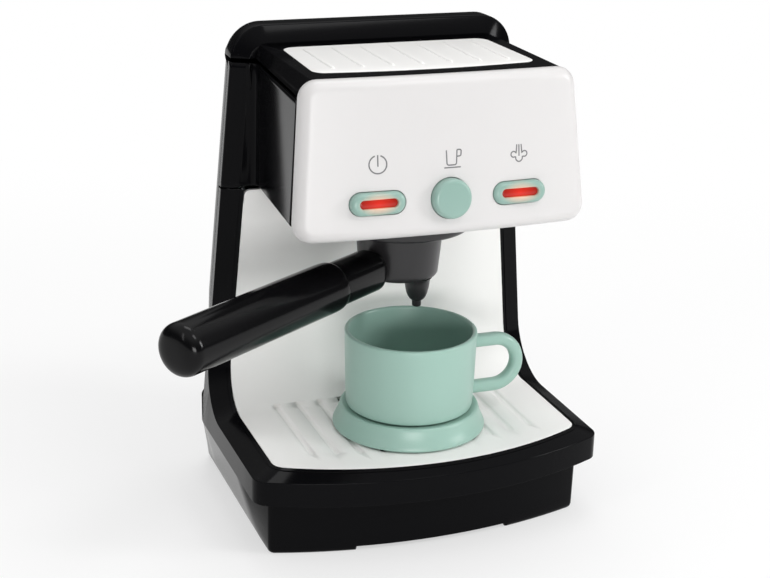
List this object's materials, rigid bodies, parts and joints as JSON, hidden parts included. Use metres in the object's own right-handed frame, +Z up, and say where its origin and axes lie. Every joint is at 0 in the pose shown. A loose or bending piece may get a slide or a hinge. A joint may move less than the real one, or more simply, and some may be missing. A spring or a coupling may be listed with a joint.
{
  "type": "toy coffee maker",
  "caption": "Toy espresso machine with a slotted tray, leaning control panel, push buttons, a turning filter holder with a long handle, and a loose cup and saucer.",
  "frame": {"origin": "On the floor, in the middle of the base's footprint, on the underside of the middle foot.", "axes": "+X to the right of someone facing the machine, +Y to its back, +Z up. The control panel faces -Y."},
  "size_m": [0.2254, 0.1684, 0.235],
  "materials": {
    "black_gloss": "glossy black moulding",
    "black_grip": "glossy black moulding",
    "black_plate": "fine matt black moulding",
    "white_satin": "satin white moulding",
    "mint_satin": "satin mint green moulding",
    "red_lens": "clear red lens",
    "dark_grey": "satin dark grey moulding",
    "foot_rubber": "soft matt rubber",
    "board_green": "solder mask",
    "led_clear": "clear tinted dome",
    "switch_black": "matt black",
    "screw_steel": "zinc plated",
    "speaker_grey": "paper cone and frame",
    "cell_wrap": "printed wrap with no marks",
    "contact_nickel": "nickel plated",
    "lead_red": "red insulation",
    "lead_blue": "blue insulation"
  },
  "bodies": {
    "machine": {"lower_frame": "black_gloss", "head_shell": "black_gloss", "top_cover": "black_gloss", "rear_cover": "black_gloss", "base_plate": "black_plate", "battery_door": "black_plate", "feet": "foot_rubber", "backsplash_tray": "white_satin", "warmer_tray": "white_satin", "front_panel": "white_satin", "circuit_board": "board_green", "leds": "led_clear", "switches": "switch_black", "board_screws": "screw_steel", "speaker": "speaker_grey", "batteries": "cell_wrap", "battery_contacts": "contact_nickel", "battery_wires": "lead_red", "speaker_wires": "lead_blue", "group_ring": "dark_grey", "ring_screws": "screw_steel", "base_screws": "screw_steel", "rear_screws": "screw_steel", "head_screws": "screw_steel", "door_screw": "screw_steel"},
    "left_button_body": {"left_button": "mint_satin", "left_lens": "red_lens"},
    "center_button_body": {"center_button": "mint_satin"},
    "right_button_body": {"right_button": "mint_satin", "right_lens": "red_lens"},
    "filter_holder": {"filter_bowl": "dark_grey", "spout": "dark_grey", "handle_core": "black_grip", "handle_grip": "black_grip", "handle_screw": "screw_steel"},
    "saucer_body": {"saucer": "mint_satin"},
    "cup_body": {"cup": "mint_satin"}
  },
  "joints": [
    {"name": "left_button_press", "type": "slide", "parent": "machine", "child": "left_button_body", "axis": [0, 0.9903, -0.1392], "range_m": [0, 0.0015], "stiffness_N_per_m": 300, "springref_m": -0.001},
    {"name": "center_button_press", "type": "slide", "parent": "machine", "child": "center_button_body", "axis": [0, 0.9903, -0.1392], "range_m": [0, 0.0025], "stiffness_N_per_m": 250, "springref_m": -0.001},
    {"name": "right_button_press", "type": "slide", "parent": "machine", "child": "right_button_body", "axis": [0, 0.9903, -0.1392], "range_m": [0, 0.0015], "stiffness_N_per_m": 300, "springref_m": -0.001},
    {"name": "filter_holder_turn", "type": "hinge", "parent": "machine", "child": "filter_holder", "pos_m": [0, -0.006, 0.145], "axis": [0, 0, 1], "range_deg": [-10, 56]},
    {"name": "saucer_pull", "type": "slide", "parent": "machine", "child": "saucer_body", "axis": [0, -0.9994, 0.0349], "range_m": [0, 0.15]},
    {"name": "cup_lift", "type": "slide", "parent": "saucer_body", "child": "cup_body", "axis": [0, -0.9781, 0.2079], "range_m": [0, 0.05]}
  ]
}
